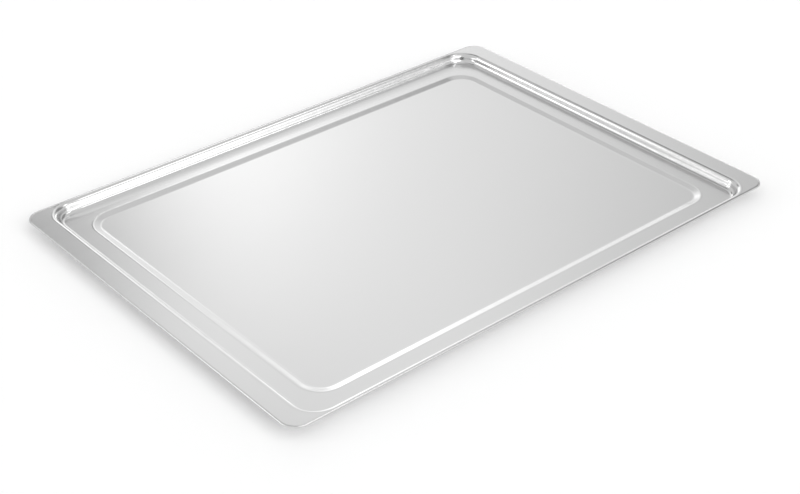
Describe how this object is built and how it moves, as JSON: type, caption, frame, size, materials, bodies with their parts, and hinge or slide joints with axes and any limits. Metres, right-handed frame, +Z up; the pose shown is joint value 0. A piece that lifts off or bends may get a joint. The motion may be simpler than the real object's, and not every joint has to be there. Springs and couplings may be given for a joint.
{
  "type": "cookie sheet",
  "caption": "Shallow rectangular oven tray pressed from stainless steel sheet, with wide end rims, a low sloping wall, a flat trough and a recessed baking panel.",
  "frame": {"origin": "middle of the underside of the panel, on the surface that the tray stands on", "axes": "+X along the long sides, towards one short end; +Y along the short ends; +Z up, out of the open face"},
  "size_m": [0.442, 0.315, 0.0096],
  "materials": {
    "stainless_steel": "satin rolled stainless steel"
  },
  "bodies": {
    "root": {"baking_sheet": "stainless_steel"}
  },
  "joints": []
}
